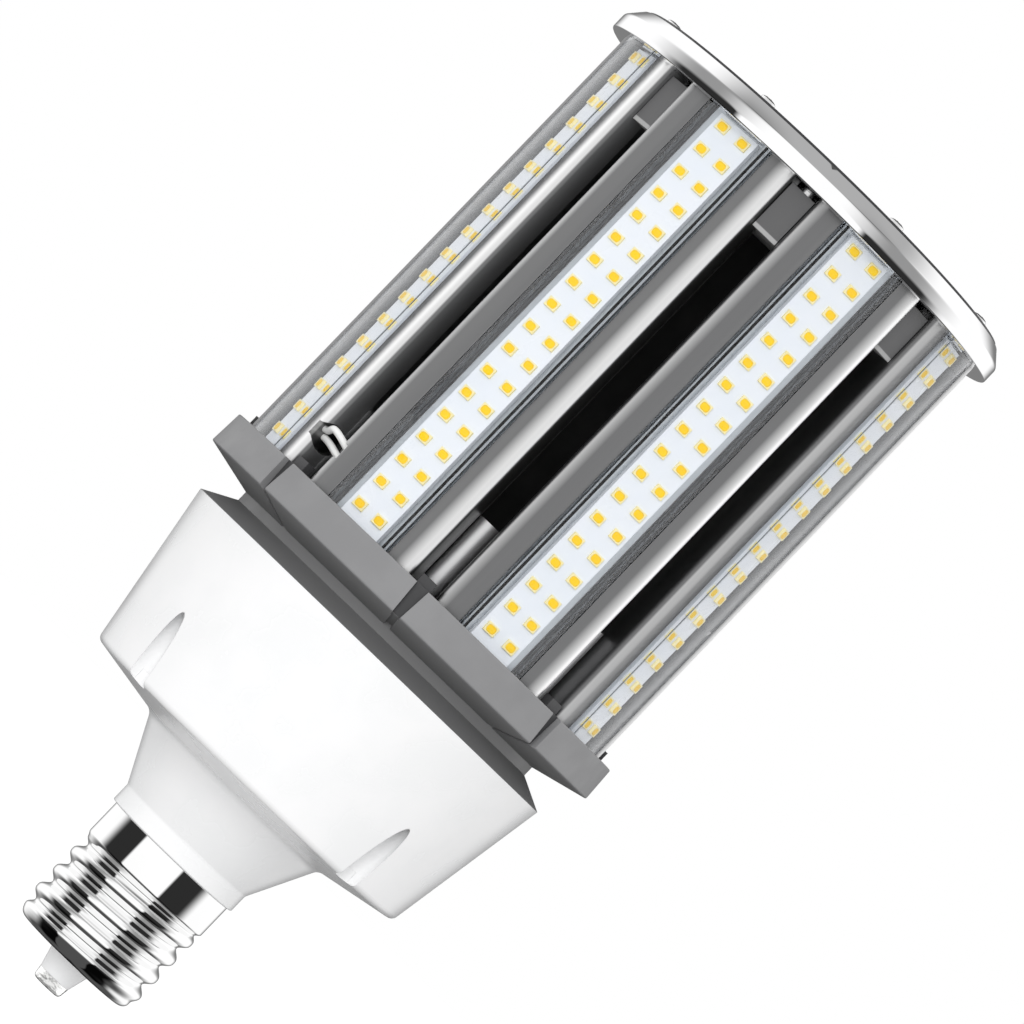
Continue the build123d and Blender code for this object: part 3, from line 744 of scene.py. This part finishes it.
# %% Tree for copies round the axis
ring_tree, ring_in, ring_result = new_group(
    "copies round the axis",
    "GeometryNodeTree",
    [
        ("Piece", "NodeSocketObject", None),
        ("Rows", "NodeSocketInt", 1),
        ("Row pitch", FLOAT, 0.0),
        ("Columns", "NodeSocketInt", 1),
        ("Column pitch", FLOAT, 0.0),
        ("Modules", "NodeSocketInt", 8),
        ("First azimuth", FLOAT, 0.0),
        ("Material", "NodeSocketMaterial", None),
    ],
    [("Geometry", "NodeSocketGeometry")],
)
piece_info = add_node(ring_tree, "GeometryNodeObjectInfo", inputs={"Object": ring_in["Piece"]})
row_step = add_node(ring_tree, "ShaderNodeCombineXYZ", inputs={"Z": ring_in["Row pitch"]})
column_step = add_node(ring_tree, "ShaderNodeCombineXYZ", inputs={"X": ring_in["Column pitch"]})
half_width = calc(
    ring_tree,
    "MULTIPLY",
    calc(ring_tree, "SUBTRACT", ring_in["Columns"], 1.0),
    calc(ring_tree, "MULTIPLY", ring_in["Column pitch"], -0.5),
)
column_start = add_node(ring_tree, "ShaderNodeCombineXYZ", inputs={"X": half_width})
row_line = add_node(
    ring_tree,
    "GeometryNodeMeshLine",
    inputs={"Count": ring_in["Rows"], "Offset": row_step.outputs["Vector"]},
)
column_line = add_node(
    ring_tree,
    "GeometryNodeMeshLine",
    inputs={
        "Count": ring_in["Columns"],
        "Start Location": column_start.outputs["Vector"],
        "Offset": column_step.outputs["Vector"],
    },
)
places = add_node(
    ring_tree,
    "GeometryNodeInstanceOnPoints",
    inputs={"Points": column_line.outputs["Mesh"], "Instance": row_line.outputs["Mesh"]},
)
places_real = add_node(
    ring_tree,
    "GeometryNodeRealizeInstances",
    inputs={"Geometry": places.outputs["Instances"]},
)
module_set = add_node(
    ring_tree,
    "GeometryNodeInstanceOnPoints",
    inputs={"Points": places_real.outputs["Geometry"], "Instance": piece_info.outputs["Geometry"]},
)
module_points = add_node(
    ring_tree,
    "GeometryNodeMeshLine",
    inputs={"Count": ring_in["Modules"], "Offset": (0, 0, 0)},
)
module_number = add_node(ring_tree, "GeometryNodeInputIndex").outputs["Index"]
full_turns = calc(ring_tree, "MULTIPLY", module_number, 360.0)
module_turn = calc(ring_tree, "DIVIDE", full_turns, ring_in["Modules"])
module_angle = calc(ring_tree, "RADIANS", calc(ring_tree, "ADD", module_turn, ring_in["First azimuth"]))
module_rotation = add_node(ring_tree, "ShaderNodeCombineXYZ", inputs={"Z": module_angle})
all_round = add_node(
    ring_tree,
    "GeometryNodeInstanceOnPoints",
    inputs={
        "Points": module_points.outputs["Mesh"],
        "Instance": module_set.outputs["Instances"],
        "Rotation": module_rotation.outputs["Vector"],
    },
)
all_real = add_node(
    ring_tree,
    "GeometryNodeRealizeInstances",
    inputs={"Geometry": all_round.outputs["Instances"]},
)
all_coated = add_node(
    ring_tree,
    "GeometryNodeSetMaterial",
    inputs={"Geometry": all_real.outputs["Geometry"], "Material": ring_in["Material"]},
)
feed(ring_tree, all_coated.outputs["Geometry"], ring_result.inputs["Geometry"])

# %% [markdown]
# ## What repeats
#
# The package frame is a small tray and the phosphor is a low cushion in it. Both stand upright in front
# of the board, so the tray's floor looks towards the lamp's axis. The screw head is a height field on
# rings: a dome with a cross pressed into it.

# %% Masters
def master(name, build):
    """Builds a mesh with bmesh and keeps it out of the picture, as the original for copies."""
    mesh = bpy.data.meshes.new(name)
    work = bmesh.new()
    build(work)
    bmesh.ops.recalc_face_normals(work, faces=work.faces)
    work.to_mesh(mesh)
    work.free()
    obj = bpy.data.objects.new(name, mesh)
    bpy.context.scene.collection.objects.link(obj)
    return obj


def loop_of(work, half_x, half_z, corner, y, points=3):
    """A closed loop of vertices: a rectangle with rounded corners, upright at a depth y."""
    loop = []
    for centre_x, centre_z, start in ((1, 1, 0), (-1, 1, 90), (-1, -1, 180), (1, -1, 270)):
        for step in range(points):
            angle = math.radians(start + 90 * step / (points - 1))
            x = centre_x * (half_x - corner) + corner * math.cos(angle)
            z = centre_z * (half_z - corner) + corner * math.sin(angle)
            loop.append(work.verts.new((x, y, z)))
    return loop


board_face = -58.2 * mm
first_row = 143.0 * mm
row_pitch = 7.63 * mm
column_pitch = 7.0 * mm
package_half = (1.75 * mm, 1.4 * mm)
window_half = (1.36 * mm, 1.04 * mm)
package_front = board_face - 0.7 * mm


def inset_loop(work, half, inset, corner, y):
    """A loop that lies inside a rectangle by an inset."""
    return loop_of(work, half[0] - inset, half[1] - inset, corner, y)


def package_tray(work):
    """The frame: a box with a chamfered front edge and a well in its front."""
    body_corner = 0.12 * mm
    chamfer = 0.08 * mm
    loops = [
        inset_loop(work, package_half, 0.0, body_corner, board_face),
        inset_loop(work, package_half, 0.0, body_corner, package_front + chamfer),
        inset_loop(work, package_half, chamfer, body_corner, package_front),
        inset_loop(work, window_half, 0.0, 0.7 * mm, package_front),
        inset_loop(work, window_half, 0.1 * mm, 0.6 * mm, package_front + 0.25 * mm),
    ]
    for first, second in zip(loops, loops[1:]):
        skin(work, first, second)
    work.faces.new(loops[0])
    work.faces.new(loops[-1])


def phosphor_cushion(work):
    """The phosphor: a low cushion that fills the well."""
    loops = [
        inset_loop(work, window_half, 0.05 * mm, 0.66 * mm, package_front + 0.2 * mm),
        inset_loop(work, window_half, 0.02 * mm, 0.68 * mm, package_front + 0.05 * mm),
        inset_loop(work, window_half, 0.35 * mm, 0.4 * mm, package_front + 0.01 * mm),
    ]
    for first, second in zip(loops, loops[1:]):
        skin(work, first, second)
    work.faces.new(loops[0])
    work.faces.new(loops[-1])


def screw_builder(place, head_radius, head_height, shank_radius, shank_length, direction):
    """A function that builds a screw at a place: domed head, pressed cross and plain shank."""

    def cross_depth(x, y):
        arm_width, arm_length = 0.16 * head_radius, 0.58 * head_radius
        depth = 0.0
        for across, along_arm in ((abs(x), abs(y)), (abs(y), abs(x))):
            if across < arm_width * 1.4 and along_arm < arm_length:
                side = min(1.0, (arm_width * 1.4 - across) / (arm_width * 0.5))
                end = min(1.0, (arm_length - along_arm) / (0.15 * head_radius))
                depth = max(depth, side * end)
        return depth * head_height * 0.6

    def build(work):
        segments, ring_count = 48, 10
        centre = Vector(place)
        rings = []
        for ring in range(1, ring_count + 1):
            radius = head_radius * ring / ring_count
            loop = []
            for step in range(segments):
                angle = math.tau * step / segments
                x, y = radius * math.cos(angle), radius * math.sin(angle)
                dome = head_height * (1.0 - 0.45 * (radius / head_radius) ** 2.6)
                z = (dome - cross_depth(x, y)) * direction
                loop.append(work.verts.new(centre + Vector((x, y, z))))
            rings.append(loop)
        for reach, level in ((head_radius, 0.0), (shank_radius, 0.0), (shank_radius, -shank_length)):
            loop = []
            for step in range(segments):
                angle = math.tau * step / segments
                corner = Vector((reach * math.cos(angle), reach * math.sin(angle), level * direction))
                loop.append(work.verts.new(centre + corner))
            rings.append(loop)
        top = work.verts.new(centre + Vector((0, 0, (head_height - cross_depth(0, 0)) * direction)))
        for step in range(segments):
            work.faces.new((top, rings[0][step], rings[0][(step + 1) % segments]))
        for first, second in zip(rings, rings[1:]):
            skin(work, first, second)
        work.faces.new(rings[-1])

    return build


cap_screw_place = (0, -57.6 * mm, 284.6 * mm)
housing_screw_place = (0, -51.7 * mm, 104.2 * mm)
tray_master = master("package_master", package_tray)
cushion_master = master("phosphor_master", phosphor_cushion)
cap_screw_master = master(
    "cap_screw_master", screw_builder(cap_screw_place, 2.2 * mm, 1.3 * mm, 1.1 * mm, 3.4 * mm, 1)
)
housing_screw_master = master(
    "housing_screw_master", screw_builder(housing_screw_place, 3.2 * mm, 2.4 * mm, 1.6 * mm, 13.4 * mm, -1)
)

# %% Light packages and screws
module_azimuth = 22.5
lamp_chips = [f"led_chips_{number}" for number in range(1, 9)]
package_grid = {
    "Rows": 18,
    "Row pitch": row_pitch,
    "Columns": 2,
    "Column pitch": column_pitch,
    "First azimuth": module_azimuth,
}
for part in (tray_master, cushion_master):
    for vertex in part.data.vertices:
        vertex.co.z += first_row

frames = piece_from_tree(
    "package_frames",
    ring_tree,
    {"Piece": tray_master, "Material": finishes["package_frame"], **package_grid},
)
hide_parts(*lamp_chips)
piece_from_tree(
    "phosphor_windows",
    ring_tree,
    {"Piece": cushion_master, "Material": finishes["led_phosphor"], **package_grid},
)
cap_screws = piece_from_tree(
    "cap_screw_set",
    ring_tree,
    {"Piece": cap_screw_master, "First azimuth": module_azimuth, "Material": finishes["screw_steel"]},
)
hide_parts("cap_screws")
housing_screws = piece_from_tree(
    "housing_screw_set",
    ring_tree,
    {
        "Piece": housing_screw_master,
        "Modules": 4,
        "First azimuth": 45.0,
        "Material": finishes["screw_steel"],
    },
)
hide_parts("housing_screws")
for original in (tray_master, cushion_master, cap_screw_master, housing_screw_master):
    bpy.data.objects.remove(original)

# %% [markdown]
# ## Camera
#
# The picture was taken from about two metres with a long lens, and the lamp leans to the right in it.
# The lamp stays upright here, and the camera is rolled instead. The camera stands a little below the
# middle of the lamp and slightly to the right of the front gap.

# %% Camera
camera_distance = 2.0
camera_azimuth = math.radians(1.07)
camera_height = 118 * mm
aim_side = 1.8 * mm
aim_height = 168.9 * mm
camera_roll = math.radians(43.9)

sideways = Vector((math.cos(camera_azimuth), math.sin(camera_azimuth), 0))
backwards = Vector((math.sin(camera_azimuth), -math.cos(camera_azimuth), 0))
aim = sideways * aim_side + Vector((0, 0, aim_height))
stand = sideways * aim_side + backwards * camera_distance + Vector((0, 0, camera_height))
camera_data = bpy.data.cameras.new("camera")
camera_data.sensor_width = 36.0
camera_data.lens = 276.4
camera_data.clip_start = 0.1
camera_data.clip_end = 50.0
camera = bpy.data.objects.new("camera", camera_data)
bpy.context.scene.collection.objects.link(camera)
bpy.context.scene.camera = camera
camera.rotation_mode = "QUATERNION"
camera.location = stand
camera.rotation_quaternion = (aim - stand).to_track_quat("-Z", "Y") @ Quaternion((0, 0, 1), camera_roll)
print("camera stands", round((aim - stand).length, 3), "m away")

# %% [markdown]
# ## Surroundings
#
# Chrome shows only what stands round it. The studio was a white tent with two dark cards, one to the
# left and one to the right of the camera, and the cards give the plated shell and the cap their dark
# stripes. In the world they are two ranges of azimuth, with sharper edges below the horizon than above
# it. Satin metal gets the tent without the cards, and soft bounce light gets a plain sky, because each
# was lit with its own set of cloths. The camera itself, and rays that pass through the clear covers,
# see plain white.

# %% World
bpy.context.scene.view_settings.view_transform = "Standard"
world = bpy.data.worlds.new("studio")
bpy.context.scene.world = world
world.use_nodes = True
sky = world.node_tree
background = sky.nodes["Background"]
direction = add_node(sky, "ShaderNodeTexCoord").outputs["Generated"]
sky_split = add_node(sky, "ShaderNodeSeparateXYZ", inputs={"Vector": direction})
forward = calc(sky, "MULTIPLY", sky_split.outputs["Y"], -1.0)
azimuth = calc(sky, "DEGREES", calc(sky, "ARCTAN2", sky_split.outputs["X"], forward))
elevation = calc(sky, "DEGREES", calc(sky, "ARCSINE", sky_split.outputs["Z"]))


def card(low, high, soft_low, soft_high):
    """1 inside a range of azimuth, falling to 0 over a soft edge at each end."""
    from_low = calc(sky, "DIVIDE", calc(sky, "SUBTRACT", azimuth, low), soft_low)
    from_high = calc(sky, "DIVIDE", calc(sky, "SUBTRACT", high, azimuth), soft_high)
    return calc(sky, "MULTIPLY", ramp(sky, from_low, -1.0, 1.0), ramp(sky, from_high, -1.0, 1.0))


def pick(amount, first, second):
    """The first value where the amount is 0, the second where it is 1."""
    values = {"Factor": amount, "A": first, "B": second}
    return add_node(sky, "ShaderNodeMix", data_type="FLOAT", inputs=values).outputs[0]


def product(*values):
    """The product of several values."""
    result = values[0]
    for value in values[1:]:
        result = calc(sky, "MULTIPLY", result, value)
    return result


raised = ramp(sky, elevation, 0.0, 3.0)
inner_soft = pick(raised, 2.5, 17.0)
outer_soft = pick(raised, 12.0, 22.0)
left_card = card(-96.0, -46.5, outer_soft, inner_soft)
right_card = card(30.0, 83.0, inner_soft, outer_soft)
cards = calc(sky, "ADD", left_card, right_card, clamp=True)
card_level = pick(raised, 0.025, 0.3)
card_ends = calc(
    sky,
    "MULTIPLY",
    ramp(sky, elevation, -72.0, -50.0),
    ramp(sky, elevation, 60.0, 80.0, 1.0, 0.0),
)
card_depth = calc(sky, "SUBTRACT", 1.0, card_level)
card_shade = product(cards, card_ends, card_depth)
behind = calc(sky, "ABSOLUTE", azimuth)
mirror_world = product(
    calc(sky, "SUBTRACT", 1.0, card_shade),
    ramp(sky, elevation, -40.0, -10.0, 0.08, 1.07),
    ramp(sky, elevation, 50.0, 66.0, 1.0, 0.42),
    ramp(sky, behind, 150.0, 170.0, 1.0, 0.2),
)
satin_world = product(
    ramp(sky, behind, 40.0, 100.0, 0.92, 1.25),
    ramp(sky, elevation, -40.0, -10.0, 0.35, 1.0),
    ramp(sky, behind, 140.0, 160.0, 1.0, 0.08),
)
soft_world = product(
    ramp(sky, elevation, -30.0, 0.0, 0.55, 0.80),
    ramp(sky, behind, 100.0, 160.0, 1.0, 0.6),
)
ray = add_node(sky, "ShaderNodeLightPath").outputs
seen_plain = calc(sky, "MAXIMUM", ray["Is Camera Ray"], ray["Is Transmission Ray"])
reflected = pick(ray["Is Singular Ray"], satin_world, mirror_world)
lit = pick(ray["Is Diffuse Ray"], reflected, soft_world)
feed(sky, pick(seen_plain, lit, 1.0), background.inputs["Strength"])
background.inputs["Color"].default_value = (1.0, 1.0, 1.0, 1.0)
world.cycles.sampling_method = "NONE"

# %% [markdown]
# ## Lamps and floor
#
# A large soft lamp above and in front gives the plastics their shading, and a weaker one fills from the
# left. Neither is seen in reflections, because the tent already gives those. The floor lies a little
# below the lamp, which a fixture holds by its base, and it is as white as the background.

# %% Lamps
def soft_lamp(name, place, size, power):
    """A square lamp that looks at the middle of the object."""
    data = bpy.data.lights.new(name, "AREA")
    data.shape = "SQUARE"
    data.size = size
    data.energy = power
    obj = bpy.data.objects.new(name, data)
    bpy.context.scene.collection.objects.link(obj)
    obj.location = place
    obj.rotation_mode = "QUATERNION"
    obj.rotation_quaternion = (Vector((0, 0, 0.16)) - Vector(place)).to_track_quat("-Z", "Y")
    obj.visible_glossy = False
    obj.visible_transmission = False
    return obj


soft_lamp("front lamp", (-0.3, -2.2, 0.55), 1.2, 23.5)
soft_lamp("top lamp", (0.4, 0.2, 2.2), 1.4, 8.0)

# %% Floor
floor_mesh = bpy.data.meshes.new("floor")
floor_half = 5.0
floor_level = -60 * mm
floor_corners = [
    (-floor_half, -floor_half, floor_level),
    (floor_half, -floor_half, floor_level),
    (floor_half, floor_half, floor_level),
    (-floor_half, floor_half, floor_level),
]
floor_mesh.from_pydata(floor_corners, [], [(0, 1, 2, 3)])
floor = bpy.data.objects.new("floor", floor_mesh)
bpy.context.scene.collection.objects.link(floor)
floor.visible_diffuse = False
floor.visible_glossy = False
floor_material = bpy.data.materials.new("pale floor")
floor_material.use_nodes = True
floor_tree = floor_material.node_tree
floor_shader = floor_tree.nodes["Principled BSDF"]
floor_shader.inputs["Base Color"].default_value = (0.55, 0.55, 0.55, 1.0)
floor_shader.inputs["Roughness"].default_value = 0.9
floor_shader.inputs["Specular IOR Level"].default_value = 0.0
floor_shader.inputs["Emission Color"].default_value = (1.0, 1.0, 1.0, 1.0)
floor_ray = add_node(floor_tree, "ShaderNodeLightPath")
floor_seen = calc(
    floor_tree,
    "MAXIMUM",
    floor_ray.outputs["Is Camera Ray"],
    floor_ray.outputs["Is Transmission Ray"],
)
feed(floor_tree, calc(floor_tree, "MULTIPLY", floor_seen, 0.62), floor_shader.inputs["Emission Strength"])
floor_mesh.materials.append(floor_material)
